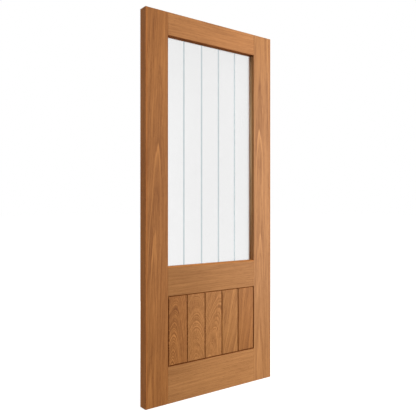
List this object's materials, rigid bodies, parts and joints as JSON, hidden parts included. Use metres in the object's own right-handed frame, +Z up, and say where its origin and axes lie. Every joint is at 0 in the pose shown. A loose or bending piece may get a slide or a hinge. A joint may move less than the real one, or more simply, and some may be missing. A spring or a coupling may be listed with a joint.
{
  "type": "glazed interior door leaf",
  "caption": "Oak interior door leaf with stiles and rails round one tall frosted light with clear lines, over a flush panel of upright vee-jointed boards.",
  "frame": {"origin": "foot of the hanging edge, on the outer face of the left edge strip at mid-thickness", "axes": "+X across the leaf from the hanging edge to the lock edge, +Y from the front face to the back face, +Z up"},
  "size_m": [0.838, 0.054, 1.981],
  "materials": {
    "oak_stile": "satin",
    "oak_rail": "satin",
    "oak_lipping": "satin",
    "oak_board": "satin",
    "oak_bead": "satin",
    "panel_core_wood": "plain",
    "frosted_glass": "acid-etched"
  },
  "bodies": {
    "root": {"back_board_1": "oak_board", "back_board_2": "oak_board", "back_board_3": "oak_board", "back_board_4": "oak_board", "back_board_5": "oak_board", "bottom_bead": "oak_bead", "bottom_rail": "oak_rail", "front_board_1": "oak_board", "front_board_2": "oak_board", "front_board_3": "oak_board", "front_board_4": "oak_board", "front_board_5": "oak_board", "glass_pane": "frosted_glass", "left_bead": "oak_bead", "left_edge_lipping": "oak_lipping", "left_stile": "oak_stile", "lock_rail": "oak_rail", "panel_core": "panel_core_wood", "right_bead": "oak_bead", "right_edge_lipping": "oak_lipping", "right_stile": "oak_stile", "top_bead": "oak_bead", "top_rail": "oak_rail"}
  },
  "joints": []
}
